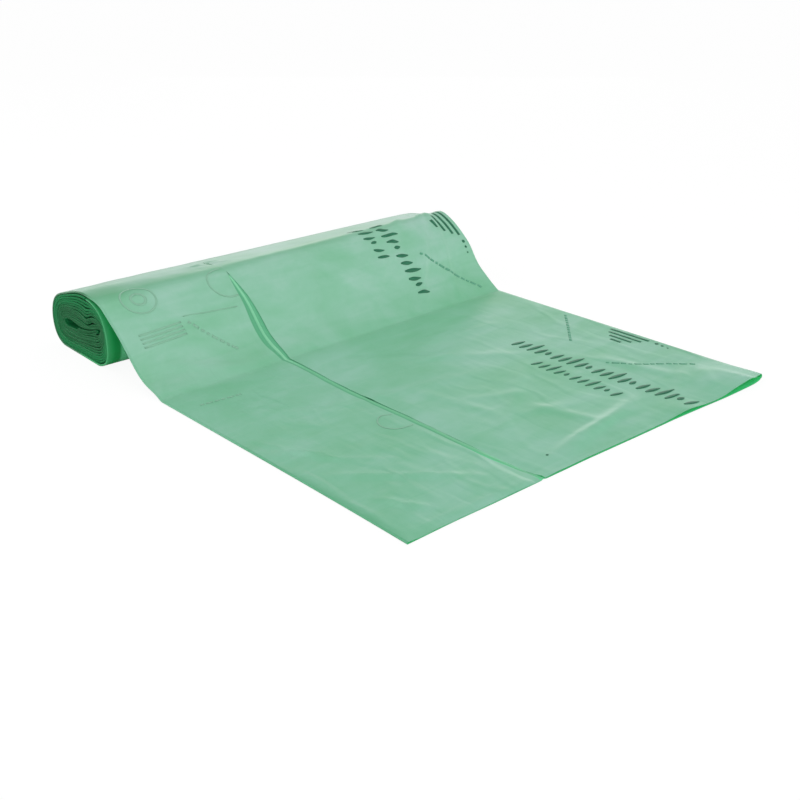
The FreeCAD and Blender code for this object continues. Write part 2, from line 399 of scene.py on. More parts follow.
# Creases of the web: from and to, each as (from the free edge, from the near edge), then
# the ridge's half width and its height.
CREASES = [
    ((24, 215), (60, 410), 7.5, 2.6),
    ((12, 220), (48, 362), 6.0, 1.5),
    ((38, 255), (44, 400), 5.5, 1.2),
    ((80, 205), (215, 390), 9.0, 1.3),
    ((12, 24), (3, 215), 4.5, 1.2),
    ((150, 22), (45, 140), 6.0, 2.2),
    ((232, 10), (180, 60), 5.0, 1.8),
    ((265, 12), (150, 62), 4.0, 1.6),
    ((205, 20), (120, 110), 3.5, 1.2),
    ((80, 30), (28, 60), 4.0, 1.8),
    ((66, 32), (34, 52), 3.0, 1.6),
    ((245, 150), (125, 168), 6.0, 1.0),
    ((268, 150), (232, 330), 9.0, 1.0),
    ((312, 255), (296, 370), 10.0, 1.0),
    ((350, 330), (330, 470), 10.0, 1.0),
    ((190, 250), (150, 330), 8.0, 0.8),
    ((120, 270), (95, 345), 8.0, 0.8),
    ((25, 430), (75, 520), 6.0, 1.4),
    ((60, 535), (22, 500), 5.0, 1.2),
    ((655, 560), (440, 330), 7.0, 2.6),
    ((650, 575), (430, 430), 6.0, 2.8),
    ((640, 560), (425, 500), 5.0, 2.2),
    ((560, 300), (430, 250), 8.0, 1.8),
    ((600, 470), (450, 300), 6.0, 2.0),
    ((570, 120), (440, 60), 9.0, 2.0),
    ((480, 20), (430, 130), 8.0, 2.4),
    ((130, 300), (40, 330), 8.0, 1.4),
    ((250, 230), (120, 260), 9.0, 1.2),
    ((380, 220), (230, 420), 10.0, 1.3),
    ((170, 470), (60, 500), 9.0, 1.2),
    ((340, 40), (250, 140), 10.0, 1.2),
    ((130, 90), (40, 110), 7.0, 1.0),
    ((622, 150), (612, 210), 2.5, 1.2),
    ((628, 165), (620, 200), 2.0, -1.0),
]


def slit_at(from_free):
    """The slit's middle, from the near edge, and its width."""
    near = [from_free - 5, from_free, from_free + 5]
    middle = float(np.interp(near, SLIT[:, 0], SLIT[:, 1]).mean())
    return middle, float(np.interp(near, SLIT[:, 0], SLIT[:, 2]).mean())


# The open flap's height along its edge, from the mouth's start to the far corner.
MOUTH_PROFILE = np.array(
    [
        (0, 0),
        (0.16, 0.12),
        (0.38, 0.6),
        (0.62, 0.95),
        (0.70, 1.0),
        (0.76, 0.80),
        (0.92, 0.72),
        (0.97, 0.4),
        (1, 0),
    ]
)
# The lesser opening half way to the slit: its place, half width, depth and height.
SECOND_PLACE = 420.0
SECOND_WIDTH = 26.0
SECOND_DEPTH = 45.0
SECOND_LIFT = 3.0


def mouth(across, from_free):
    """How far the far flap stands open at the far corner and, less, half way to the slit."""
    along = (across - (WEB_WIDTH - MOUTH_WIDTH)) / MOUTH_WIDTH
    profile = np.interp(along, MOUTH_PROFILE[:, 0], MOUTH_PROFILE[:, 1])
    lift = MOUTH_LIFT * profile * fade(1 - from_free / MOUTH_DEPTH)
    second = SECOND_LIFT * math.exp(-(((across - SECOND_PLACE) / SECOND_WIDTH) ** 2))
    return float(lift + second * fade(1 - from_free / SECOND_DEPTH))


SLACK_MARGIN = 30.0  # from the side folds to where the web is as slack as its middle
ROLL_SLACK = 0.35  # how much of it is left where the web is wound
WRINKLE_MARGIN = 12.0
ROLL_WRINKLES = 0.6


def slack(across, from_free, on_roll):
    """How far both sides of the web stand off its middle together, in soft waves."""
    wave = 0.9 * ripple(across, from_free, 150, 3.1) + 0.5 * ripple(across, from_free, 60, 7.7, 0.6)
    edges = float(fade(across / SLACK_MARGIN) * fade((WEB_WIDTH - across) / SLACK_MARGIN))
    return edges * (ROLL_SLACK if on_roll else 1.0) * max(0.0, wave + 0.35)


def wrinkles(across, from_free, on_roll):
    """How far a flap stands off the lower side, beyond the waves that both share."""
    fine = 0.35 * ripple(across, from_free, 34, 1.3) + 0.18 * ripple(across, from_free, 16, 5.9)
    if on_roll:
        return fine * ROLL_WRINKLES
    # The far flap lies smoother on the floor than the near one.
    fine *= 1.0 - 0.45 * float(fade((across - 190) / 60) * fade((420 - from_free) / 60))
    ridges = sum(high * crease(across, from_free, a, b, wide) for a, b, wide, high in CREASES)
    edges = float(fade(across / WRINKLE_MARGIN) * fade((WEB_WIDTH - across) / WRINKLE_MARGIN))
    return edges * (fine + ridges)


def lip(across, from_free):
    """The flaps' edges lie close on the lower side. The near one curls up where the slit gapes."""
    middle, width = slit_at(from_free)
    off = max(abs(across - middle) - width / 2, 0.0)
    gape = float(fade((width - 7.5) / 8)) * (across < middle)
    cut = float(fade((width - 0.5) / 2.5))
    curl = 0.6 * gape * math.exp(-((off / 6) ** 2))
    lie = 1.2 * (1 - gape) * math.exp(-((off / 13) ** 2))
    return cut * (curl - lie)


def flap_height(across, from_free, on_roll=False):
    """How high a flap lies over the middle of the web."""
    height = FLAP_HEIGHT + slack(across, from_free, on_roll) + wrinkles(across, from_free, on_roll)
    if on_roll:
        return height
    if across > SLIT[0, 1]:
        height += mouth(across, from_free)
    else:
        # The near flap's free edge clings to the lower side.
        height -= 1.1 * float(fade(1 - from_free / 16) * fade(across / 20))
    return height + lip(across, from_free)


def base_height(across, from_free, on_roll):
    """How high the lower side lies over the middle of the web: a ridge stands up in the slit."""
    height = BASE_HEIGHT + slack(across, from_free, on_roll)
    if on_roll:
        return height
    middle, width = slit_at(from_free)
    off = (across - middle - 0.09 * width) / 2.4
    return height + (0.3 + 0.13 * max(width, 0)) * math.exp(-(off**2))


# The columns of the folded section.
NEAR_FLAP = 180.0  # the flaps' widths, by which their columns are counted
FAR_FLAP = 394.0
FOLD_STEPS = 6
EDGE = 0.4  # width of the last strip of film along the slit
FOLD_LINE = (-1.3, 1.1)  # the fold that stands up in the slit, from its middle
SLIT_OFFSETS = [-13.0, -10.0, -7.0, -4.5, -2.6, -1.2, -0.5, 0.5, 1.2, 2.6, 4.5, 7.0, 10.0, 13.0]


def section_columns(flap_space, base_space):
    """The folded section as (part, place) pairs, from the slit round the lower side and back."""

    def run(part, length, space):
        count = round(length / space)
        return [(part, i / count) for i in range(count)]

    last = SLIT_OFFSETS[-1]
    near, far = run("near", NEAR_FLAP, flap_space), run("far", FAR_FLAP, flap_space)
    near.insert(1, ("near", EDGE / NEAR_FLAP))
    columns = near + run("near_fold", FOLD_STEPS, 1)
    columns += run("base_near", NEAR_FLAP - last, base_space) + [("slit", x) for x in SLIT_OFFSETS]
    columns += run("base_far", FAR_FLAP - last, base_space)[1:] + run("far_fold", FOLD_STEPS, 1)
    return columns + far + [("far", 1.0 - EDGE / FAR_FLAP), ("far", 1.0)]


def section_point(part, place, from_free, on_roll):
    """Across, height and flat coordinate of a point of the folded section."""
    middle, width = slit_at(from_free)
    fold, last = FLAP_HEIGHT, SLIT_OFFSETS[-1]
    if part == "near":
        across = (middle - width / 2) * (1 - place) + fold * place
        return across, flap_height(across, from_free, on_roll), -across
    if part == "near_fold":
        angle = math.pi * place
        return fold - fold * math.sin(angle), fold * math.cos(angle), -fold * (1 - 2 * place)
    if part == "far_fold":
        angle = math.pi * place
        across = WEB_WIDTH - fold + fold * math.sin(angle)
        return across, -fold * math.cos(angle), WEB_WIDTH + fold * 2 * place
    if part == "far":
        across = (WEB_WIDTH - fold) * (1 - place) + (middle + width / 2) * place
        return across, flap_height(across, from_free, on_roll), 2 * WEB_WIDTH - across
    if part == "base_near":
        across = fold * (1 - place) + (middle - last) * place
    elif part == "slit":
        across = middle + place
    else:
        across = (middle + last) * (1 - place) + (WEB_WIDTH - fold) * place
    return across, base_height(across, from_free, on_roll), across


def new_piece(name, bm):
    """Makes the piece from its finished mesh, with smooth faces."""
    for face in bm.faces:
        face.smooth = True
    mesh = bpy.data.meshes.new(name)
    bm.to_mesh(mesh)
    bm.free()
    piece = bpy.data.objects.new(name, mesh)
    bpy.context.scene.collection.objects.link(piece)
    return piece


def add_grid(bm, columns, rows, place, slot=None):
    """Adds a sheet of columns and rows.

    place(column, row) gives a point and its flat coordinates, and slot(column, row) the
    number of a face's material.
    """
    made = bmesh.ops.create_grid(bm, x_segments=columns - 1, y_segments=rows - 1, size=1.0)["verts"]
    uv = bm.loops.layers.uv.get("flat") or bm.loops.layers.uv.new("flat")
    where, flats = {}, {}
    for v in made:
        where[v] = round((v.co.x + 1) / 2 * (columns - 1)), round((v.co.y + 1) / 2 * (rows - 1))
        v.co, flats[v] = place(*where[v])
    for face in {face for v in made for face in v.link_faces}:
        if slot:
            face.material_index = slot(*np.min([where[v] for v in face.verts], axis=0))
        for loop in face.loops:
            loop[uv].uv = flats[loop.vert]


def thicken(piece, thickness, inside=0):
    """Gives a sheet its thickness, half to each side.

    Its cut edges get the next material, and its inner side the one that many places on.
    """
    solid = piece.modifiers.new("film thickness", "SOLIDIFY")
    solid.thickness = thickness * MM
    solid.offset = 0
    solid.use_rim = True
    solid.material_offset_rim = 1
    solid.material_offset = inside
    return piece


CLOSE_ROWS = 4  # rows before the outlet in which the web starts to come loose


def folded_web(name, web, first, last, columns, shade_from=math.inf):
    """The folded web from one row to another.

    Faces further from the free edge than the given distance get the third material, which
    on the outer turn carries its painted light and shade under the drape.
    """

    def place(column, row):
        here = first + row
        from_free = web.from_free[here]
        on_roll = here < web.outlet_row - CLOSE_ROWS
        across, height, flat = section_point(*columns[column], from_free, on_roll)
        return web.place(here, across, height), (flat * MM, from_free * MM)

    bm = bmesh.new()
    shaded_rows = sum(web.from_free[first:last] > shade_from)

    def slot(column, row):
        part, offset = columns[column]
        if row < shaded_rows:
            return 2
        return int(part == "slit" and FOLD_LINE[0] < offset < FOLD_LINE[1])

    add_grid(bm, len(columns), last - first + 1, place, slot)
    for edge in bm.edges:
        edge.smooth = not edge.is_boundary
    return new_piece(name, bm)


# Columns of the wound turns, by their distance from the near edge, close together at the
# roll's ends.
TURN_COLUMNS = [575, 573.5, 570, 561, 535, 465, 345, 230, 110, 40, 14, 5, 1.5, 0]
TURN_STEPS = 100  # points of one wound turn
FIRST_STEP = 3  # where the inner end runs into the first turn
LAST_STEPS = 43  # how far the last turn goes on, to where the outer one begins
LOWEST_TURN = 2 * WEB_HALF + 1.0  # its middle above the floor, on the outer turn
END_DEPTH = 30.0  # how far in from the roll's ends the turns' edges stray


def near_place(place, middle, spread):
    """From 1 at a place of the outline down to 0 away from it."""
    return math.exp(-(((place - middle) / spread) ** 2))


def wound_turns():
    """The inner turns: a long sheet wound from the crushed hollow outwards."""
    turns = len(TURN_SHARES) - 2
    line = [np.array(p, float) for p in spaced(spline(INNER_END), 40)]
    start = len(line)
    for i in range(FIRST_STEP, turns * TURN_STEPS + LAST_STEPS):
        turn = i / TURN_STEPS
        place = turn * PLACES % PLACES
        out = float(np.interp(turn, range(turns + 2), TURN_SHARES))
        # The outer turns fill out towards the outlet. Under the crest all are pushed in by
        # one sharp dent, and sag unevenly.
        out += 0.03 * near_place(place, 4.3, 1.4) * (turn / turns) ** 2
        dent = 6.0 * float(fade(out / 0.35) * fade((1.0 - out) / 0.4)) * near_place(place, 5.3, 0.5)
        sag = 2.2 * near_place(place, 5.6, 1.1) * math.sin(turn * 4.3) * (1 - turn / turns)
        line.append(wound(place, out=out) + np.array([0.0, sag - dent - 0.6 * (turn < 1)]))
    line = np.array(line)
    line[:, 1] = np.maximum(line[:, 1], LOWEST_TURN)
    normal = Web.normals(line)
    along = np.concatenate([[0], np.cumsum(np.linalg.norm(np.diff(line, axis=0), axis=1))])

    def point(column, row):
        across, depth = TURN_COLUMNS[column], 1 - row / len(line)
        far_half = across > WEB_WIDTH / 2
        end = float(fade(1 - min(across, WEB_WIDTH - across) / END_DEPTH))
        stray = 1.8 * noise.noise(Vector((row * 0.03, 0.0, 9.2 if far_half else 1.7)))
        wave = 1.0 * noise.noise(Vector((row * 0.045, across * 0.02, 4.4)))
        x, z = line[row] + normal[row] * wave * depth * (row > start)
        inward = end * (stray + 0.4 + 3.5 * depth) * (-1 if far_half else 1)
        y = across + inward - (WEB_WIDTH + ROLL_SHIFT) / 2
        return Vector(((x + ROLL_MIDDLE) * MM, y * MM, z * MM)), (across * MM, along[row] * MM)

    bm = bmesh.new()
    add_grid(bm, len(TURN_COLUMNS), len(line), point)
    return new_piece("wound_turns", bm), along[-1]


INK_GAP = 0.25  # the marks' middle, above the film
INK_MARGIN = 1.5  # from the web's sides to the nearest mark
INK_THICKNESS = 0.15


class Ink:
    """Marks printed on the web's flaps, as thin ribbons that follow the film.

    Places are (from the free edge, from the near edge).
    """

    def __init__(self, web):
        self.web = web
        self.bm = bmesh.new()

    def ribbon(self, path, width, steps=8):
        """A stroke along a path of (from free edge, across), its width a number or a function."""
        path = spaced(np.array(path, float), steps + 1)
        run = np.gradient(path, axis=0)
        side = np.column_stack([-run[:, 1], run[:, 0]])
        side /= np.linalg.norm(side, axis=1)[:, None]

        def place(column, row):
            wide = width(row / steps) if callable(width) else width
            from_free, across = path[row] + side[row] * wide * (column / 2 - 0.5)
            across = min(max(across, INK_MARGIN), WEB_WIDTH - INK_MARGIN)
            height = flap_height(across, from_free) + FILM / 2 + INK_GAP
            point = self.web.place(self.web.row_at(from_free), across, height)
            return point, (across * MM, from_free * MM)

        add_grid(self.bm, 3, steps + 1, place)

    def leaf(self, base, tip, width):
        """A leaf from its base to its tip, widest in the middle."""

        def taper(share):
            return 0.3 + width * math.sin(math.pi * min(share * 0.85 + 0.1, 1.0))

        self.ribbon([base, tip], taper, 7)

    def leaf_row(self, start, end, height, space):
        """A row of slanted leaves of three sizes between two points."""
        start, end = np.array(start, float), np.array(end, float)
        length = np.linalg.norm(end - start)
        along = (end - start) / length
        up = np.array([-along[1], along[0]])
        up *= -1 if up[1] < 0 else 1
        for i in range(int(length / space)):
            base = start + along * (i + 0.3) * space
            if i % 5 == 4:
                base = base + up * height * 0.2
                self.leaf(base, base + up * height * 0.4, height * 0.2)
            else:
                size = height * (0.72, 0.72, 1.0, 0.72)[i % 5]
                self.leaf(base, base + up * size + along * space * 0.35, height * 0.21)

    def ring(self, middle, radius, width, start=0.0, end=360.0, steps=40):
        """A ring, or its arc from one angle to another."""
        angles = np.radians(np.linspace(start, end, steps + 1))
        x, y = middle
        path = [(x + radius * math.cos(a), y + radius * math.sin(a)) for a in angles]
        self.ribbon(path, width, steps)

    def rule(self, points, dash, gap, width):
        """A broken line through the points."""
        line = np.array(points, float)
        length = length_of(line)
        whole = spaced(line, max(int(length), 2))
        at = 0.0
        for i in range(int(length / (dash + gap)) + 1):
            long = dash * (0.5, 1.0, 0.7)[i % 3]
            piece = whole[int(at) : int(at + long) + 1]
            if len(piece) > 2:
                self.ribbon(piece, width, 3)
            at += long + gap

    def finish(self, name):
        """The marks as one piece."""
        return new_piece(name, self.bm)


def dark_marks(web):
    """Rows of leaves, stacks of bars and dots on the far flap."""
    ink = Ink(web)
    ink.leaf_row((268, 424), (0, 430), 30, 12.6)
    ink.leaf_row((208, 393), (64, 390), 24, 12.2)
    ink.leaf_row((590, 435), (442, 440), 28, 12.6)
    ink.leaf_row((606, 406), (520, 407), 24, 12.2)
    for bars in (185, 558):
        for across, half in ((566, 30), (556, 25), (546, 17), (536, 8)):
            ink.ribbon([(bars - half, across), (bars + half, across)], 4.2, 12)
        for step, size in enumerate((2.6, 2.0, 1.4)):
            ink.ring((bars - 42 - 9 * step, 566 - step), size / 2, size, steps=12)
    ink.ring((30, 221), 0.8, 1.6, steps=12)
    return ink.finish("dark_marks")


def fine_marks(web):
    """Fine broken rules on the far flap, too thin to look as dark as the rest."""
    ink = Ink(web)
    for points in (
        [(147, 466), (122, 484), (103, 512), (78, 540), (52, 556)],
        [(290, 564), (258, 530), (225, 494), (210, 480)],
        [(517, 478), (490, 505), (460, 530), (441, 548), (418, 558)],
    ):
        ink.rule(points, 9.0, 2.5, 3.4)
    return ink.finish("fine_marks")


def faint_marks(web):
    """Print on the web's other films that shows through the near flap."""
    ink = Ink(web)
    ink.ring((567, 49), 22, 2.4)
    ink.ring((567, 49), 9, 3.4, steps=24)
    ink.ring((558, 170), 24, 2.2, 168, 372)
    ink.ring((197, 160), 20, 1.8, 150, 390)
    for step in range(4):
        ink.ribbon([(518 - 5.5 * step, 23), (520 - 5.5 * step, 82)], 2.4)
    ink.ribbon([(526, 88), (519, 164)], 1.4)
    ink.rule([(517, 90), (456, 143)], 8.0, 3.0, 3.4)
    ink.rule([(381, 26), (373, 82)], 8.0, 3.0, 3.0)
    return ink.finish("faint_marks")


def linear(hex_colour):
    """An sRGB hex colour as linear RGBA."""
    parts = [int(hex_colour[i : i + 2], 16) / 255 for i in (0, 2, 4)]
    return tuple(c / 12.92 if c <= 0.04045 else ((c + 0.055) / 1.055) ** 2.4 for c in parts) + (1.0,)


# Typical of a starch blend.
FILM_IOR = 1.5

# Sizes of the film's patterns in millimetres, across the web and along it. The finest
# wrinkles are drawn coarser than the real ones, so that they show.
CLOUD = 111.1
STREAK = (16.667, 90.91)
WAVE = (125.0, 23.81)
CRINKLE = (66.67, 166.7)
WRINKLE = 9.091
EDGE_STREAK = 11.111

# Distances from the free edge, in metres, between which the film's look changes.
# the bands of painted shade and painted reflection, at the foot of the drape and over the crest
PAINTED_LIGHT_BANDS = (0.0, 0.66)
FOLD_FADES = (0.2, 0.36)
CRINKLES_END = (0.33, 0.42)
ROLL_BEGINS = (0.56, 0.6)
# where the painted shade of the fold at the roll's end begins
ROLL_END_SHADE_ALONG = (0.59, 0.61)

# Where a side fold has parted, by its distance from the free edge, and how far from there
# the fuller green narrows again, in metres.
PARTED_AT = 0.1
PARTED = (0.05, 0.11)

# Distances from a side fold, in metres, between which its fuller green fades. The strip at
# the fold itself is partly painted shade.
THIN_LINE = (0.0012, 0.0032)
BROAD_LINE = (0.002, 0.012)
# the painted shade of the fold at the roll's end
ROLL_END_SHADE_LINE = (0.0010, 0.0018)


def per_metre(size):
    """The scale of a pattern that is that many millimetres long."""
    return 1 / (size * MM)


def add(tree, kind, inputs=(), stops=(), **settings):
    """Adds a node with its settings.

    Its inputs, in order or by name, are given a number, a colour, an output, or a node for
    its first output. The stops are a colour ramp's, as (position, hex colour).
    """
    made = tree.nodes.new(kind)
    for name, value in settings.items():
        setattr(made, name, value)
    if not isinstance(inputs, dict):
        inputs = dict(enumerate(inputs))
    for socket, value in inputs.items():
        if isinstance(value, bpy.types.Node):
            value = value.outputs[0]
        if isinstance(value, bpy.types.NodeSocket):
            tree.links.new(value, made.inputs[socket])
        else:
            made.inputs[socket].default_value = value
    if stops:
        ramp = made.color_ramp.elements
        ramp[0].position, ramp[1].position = stops[0][0], stops[-1][0]
        ramp[0].color, ramp[1].color = linear(stops[0][1]), linear(stops[-1][1])
        for position, colour in stops[1:-1]:
            ramp.new(position).color = linear(colour)
    return made


def new_material(name):
    """An empty material and its tree."""
    material = bpy.data.materials.new(name)
    material.use_nodes = True
    material.node_tree.nodes.clear()
    return material, material.node_tree


def film_surface(tree, inputs):
    """The film's shader, with its inputs, as the material's surface."""
    film = add(tree, "ShaderNodeBsdfPrincipled", {"IOR": FILM_IOR, **inputs})
    add(tree, "ShaderNodeOutputMaterial", {"Surface": film})


def starch_film(name):
    """Blown starch-blend film: milky pale green with a soft, uneven gloss.

    It shows cloudy patches a hand wide where the layers cling together or part, and fine
    wrinkles a few millimetres wide that break up its highlights. Along its folds the
    colour is fuller, where more film is seen edge-on, with a strip of painted shade at
    the fold itself and painted shade at the roll's end. In the two bands where the web
    bends over the roll and down to the floor, painted shade darkens it, and over the
    crest and the roll beyond, a painted grey reflection tints it.
    """
    material, tree = new_material(name)
    flat = add(tree, "ShaderNodeUVMap", uv_map="flat")
    parts = add(tree, "ShaderNodeSeparateXYZ", [flat])
    across, along = parts.outputs[0], parts.outputs[1]

    # Cloudy patches, with waves across the web in them.
    clouds = add(
        tree,
        "ShaderNodeTexNoise",
        {"Vector": flat, "Scale": per_metre(CLOUD), "Detail": 5.0, "Roughness": 0.6, "Distortion": 0.4},
    )
    scale = (per_metre(WAVE[0]), per_metre(WAVE[1]), 1.0)
    turned = add(tree, "ShaderNodeMapping", {"Vector": flat, "Rotation": (0.0, 0.0, -0.25), "Scale": scale})
    waves = add(
        tree, "ShaderNodeTexNoise", {"Vector": turned, "Scale": 1.0, "Detail": 2.0, "Distortion": 0.8}
    )
    light = add(tree, "ShaderNodeMath", [waves, 0.35], operation="MULTIPLY")
    patch = add(tree, "ShaderNodeMath", [light, clouds], operation="ADD")
    tones = [(0.48, "80c49e"), (0.68, "8fcaad"), (0.88, "a1d0bd")]
    tone = add(tree, "ShaderNodeValToRGB", [patch], tones)

    # Painted shade in bands at the foot of the drape, at 0.54 to 0.72, and over the crest,
    # from 0.865 on: a darker band just before the crest, then a painted grey reflection
    # over the crest and the roll beyond.
    painted_light_share = add(tree, "ShaderNodeMapRange", [along, *PAINTED_LIGHT_BANDS])
    painted_bend_light = add(
        tree,
        "ShaderNodeValToRGB",
        [painted_light_share],
        [
            (0.54, "e5faf1"),
            (0.59, "e5faf0"),
            (0.63, "dff6e8"),
            (0.72, "ffffff"),
            (0.865, "ffffff"),
            (0.893, "b8e4cc"),
            (0.925, "e4ebe8"),
        ],
    )
    tone_with_painted_light = add(tree, "ShaderNodeMix", {0: 1.0, 6: tone, 7: painted_bend_light}, data_type="RGBA", blend_type="MULTIPLY")

    # The two side folds lie at 0 and at the web's width, and the green is fuller along them,
    # where more film is seen edge-on. The strip right at the fold is also darkened as painted
    # shade over the rounded fold's highlight. Near the free edge they part a little, and the
    # fuller green is wider there.
    near = add(tree, "ShaderNodeMath", [across], operation="ABSOLUTE")
    inside = add(tree, "ShaderNodeMath", [across, WEB_WIDTH * MM], operation="SUBTRACT")
    far = add(tree, "ShaderNodeMath", [inside], operation="ABSOLUTE")
    off = add(tree, "ShaderNodeMath", [near, far], operation="MINIMUM")
    thin = add(tree, "ShaderNodeMapRange", [off, *THIN_LINE, 0.8, 0.0])
    front = add(tree, "ShaderNodeMapRange", [along, *FOLD_FADES, 1.0, 0.35])
    line = add(tree, "ShaderNodeMath", [thin, front], operation="MULTIPLY")
    wide = add(tree, "ShaderNodeMapRange", [off, *BROAD_LINE, 0.55, 0.0], interpolation_type="SMOOTHSTEP")
    away = add(tree, "ShaderNodeMath", [along, PARTED_AT], operation="SUBTRACT")
    either_way = add(tree, "ShaderNodeMath", [away], operation="ABSOLUTE")
    parted = add(tree, "ShaderNodeMapRange", [either_way, *PARTED, 1.0, 0.0])
    broad = add(tree, "ShaderNodeMath", [wide, parted], operation="MULTIPLY")
    fold = add(tree, "ShaderNodeMath", [line, broad], operation="MAXIMUM")
    folded = add(
        tree, "ShaderNodeMix", {0: fold, 6: tone_with_painted_light.outputs[2], 7: linear("4fae7c")}, data_type="RGBA"
    )

    # Painted shade: at the roll's end the fold lies in shadow and is painted as dark as the
    # turns inside it.
    rim = add(tree, "ShaderNodeMapRange", [off, *ROLL_END_SHADE_LINE, 1.0, 0.0])
    on_roll = add(tree, "ShaderNodeMapRange", [along, *ROLL_END_SHADE_ALONG])
    end = add(tree, "ShaderNodeMath", [rim, on_roll], operation="MULTIPLY")
    colour = add(
        tree, "ShaderNodeMix", {0: end, 6: folded.outputs[2], 7: linear("1f7d4a")}, data_type="RGBA"
    )

    # Soft wrinkles: slanted streaks, the waves and a little of the finest ones.
    scale = (per_metre(STREAK[0]), per_metre(STREAK[1]), 1.0)
    slanted = add(tree, "ShaderNodeMapping", {"Vector": flat, "Rotation": (0.0, 0.0, 0.6), "Scale": scale})
    streaks = add(
        tree, "ShaderNodeTexNoise", {"Vector": slanted, "Scale": 1.0, "Detail": 1.2, "Distortion": 0.8}
    )
    fine = add(
        tree,
        "ShaderNodeTexNoise",
        {"Vector": flat, "Scale": per_metre(WRINKLE), "Detail": 1.0, "Roughness": 0.5},
    )
    little = add(tree, "ShaderNodeMath", [fine, 0.15], operation="MULTIPLY")
    both = add(tree, "ShaderNodeMath", [streaks, waves], operation="ADD")
    three = add(tree, "ShaderNodeMath", [little, both], operation="ADD")
    soft = add(tree, "ShaderNodeMath", [three, 0.55], operation="MULTIPLY")

    # Sharp crinkles where a slow noise crosses its middle, only on parts of the flat film.
    scale = (per_metre(CRINKLE[0]), per_metre(CRINKLE[1]), 1.0)
    askew = add(tree, "ShaderNodeMapping", {"Vector": flat, "Rotation": (0.0, 0.0, 0.5), "Scale": scale})
    field = add(tree, "ShaderNodeTexNoise", {"Vector": askew, "Scale": 1.0, "Detail": 2.0, "Roughness": 0.5})
    level = add(tree, "ShaderNodeMath", [field, 0.5], operation="SUBTRACT")
    height = add(tree, "ShaderNodeMath", [level], operation="ABSOLUTE")
    sharp = add(tree, "ShaderNodeMapRange", [height, 0.0, 0.08, 0.8, 0.0], interpolation_type="SMOOTHSTEP")
    on_flat = add(
        tree, "ShaderNodeMapRange", [along, *CRINKLES_END, 1.0, 0.15], interpolation_type="SMOOTHSTEP"
    )
    crinkle = add(tree, "ShaderNodeMath", [sharp, on_flat], operation="MULTIPLY")
    whole = add(tree, "ShaderNodeMath", [soft, crinkle], operation="ADD")

    # The film is pulled smooth over the roll, and smoother towards its far end.
    depth = add(tree, "ShaderNodeMapRange", [along, *ROLL_BEGINS, 0.0016, 0.0006])
    share = add(tree, "ShaderNodeMapRange", [across, 0.0, 0.5, 1.5, 0.45])
    relief = add(tree, "ShaderNodeMath", [depth, share], operation="MULTIPLY")
    bump = add(tree, "ShaderNodeBump", {"Height": whole, "Distance": relief, "Strength": 0.5})
    film_surface(tree, {"Base Color": colour.outputs[2], "Normal": bump, "Roughness": 0.34})
    return material


def film_with_painted_drape_light(name):
    """The outer turn's film under the drape, where only green light reaches it, with that light
    and shade painted into its colour.

    It is painted bright along the roll's end, where side light falls, painted deep green
    shade behind that, and painted paler further in, where light comes in under the drape.
    """
    material, tree = new_material(name)
    flat = add(tree, "ShaderNodeUVMap", uv_map="flat")
    parts = add(tree, "ShaderNodeSeparateXYZ", [flat])
    across = add(tree, "ShaderNodeMath", [parts.outputs[0]], operation="ABSOLUTE")
    from_end = add(tree, "ShaderNodeMapRange", [across, 0.0, 0.06])
    green = add(
        tree,
        "ShaderNodeValToRGB",
        [from_end],
        [
            (0.0, "3fb070"),
            (0.1, "22b060"),
            (0.17, "00a450"),
            (0.27, "00a450"),
            (0.33, "74e6a6"),
            (1.0, "90ecbc"),
        ],
    )
    film_surface(tree, {"Base Color": green, "Roughness": 0.5})
    return material


def plain_film(name, colours, roughness, along=None, gloss=0.5):
    """Film in one of its fuller greens, in streaks, or running from one green to another.

    along gives the two distances down the web, in metres, between which it changes.
    """
    material, tree = new_material(name)
    flat = add(tree, "ShaderNodeUVMap", uv_map="flat")
    if along:
        parts = add(tree, "ShaderNodeSeparateXYZ", [flat])
        share = add(tree, "ShaderNodeMapRange", [parts.outputs[1], *along])
    else:
        scale = per_metre(EDGE_STREAK)
        streaks = add(tree, "ShaderNodeTexNoise", {"Vector": flat, "Scale": scale, "Detail": 3.0})
        share = add(tree, "ShaderNodeMapRange", [streaks, 0.35, 0.65])
    green = add(tree, "ShaderNodeValToRGB", [share], list(enumerate(colours)))
    film_surface(tree, {"Base Color": green, "Roughness": roughness, "Specular IOR Level": gloss})
    return material


FLOOR_PLACE = (0.0, 0.0, -0.0004)  # just clear of the film that lies on it
WHITE = (1.0, 1.0, 1.0, 1.0)

# Name, place in metres, side and power in watts.
LAMPS = [
    ("window", (-0.9, -0.6, 1.6), 1.6, 7.5),
    ("fill", (1.7, 0.4, 1.0), 1.8, 9.0),
    ("back", (-1.7, 1.5, 0.6), 1.6, 1.0),
]

# The photograph's camera, from the vanishing points of the flat web's edges.
LENS = 49.37
SENSOR = 36.0
CAMERA_PLACE = (0.9624, -0.8440, 0.5229)
CAMERA_TURN = (65.573, -0.049, 48.459)  # degrees


def pale_floor():
    """A matt floor that nearly vanishes in the white room and keeps the shadow."""
    bpy.ops.mesh.primitive_plane_add(size=40, location=FLOOR_PLACE)
    floor = bpy.context.object
    floor.name = "floor"
    material, tree = new_material("pale_floor")
    paint = add(tree, "ShaderNodeBsdfPrincipled", {"Base Color": linear("f4f4f4"), "Roughness": 0.9})
    light = add(tree, "ShaderNodeEmission", {"Color": WHITE, "Strength": 1.035})
    path = add(tree, "ShaderNodeLightPath")
    share = add(tree, "ShaderNodeMath", [path.outputs["Is Camera Ray"], 0.9], operation="MULTIPLY")
    seen = add(tree, "ShaderNodeMixShader", [share, paint, light])
    add(tree, "ShaderNodeOutputMaterial", {"Surface": seen})
    floor.data.materials.append(material)


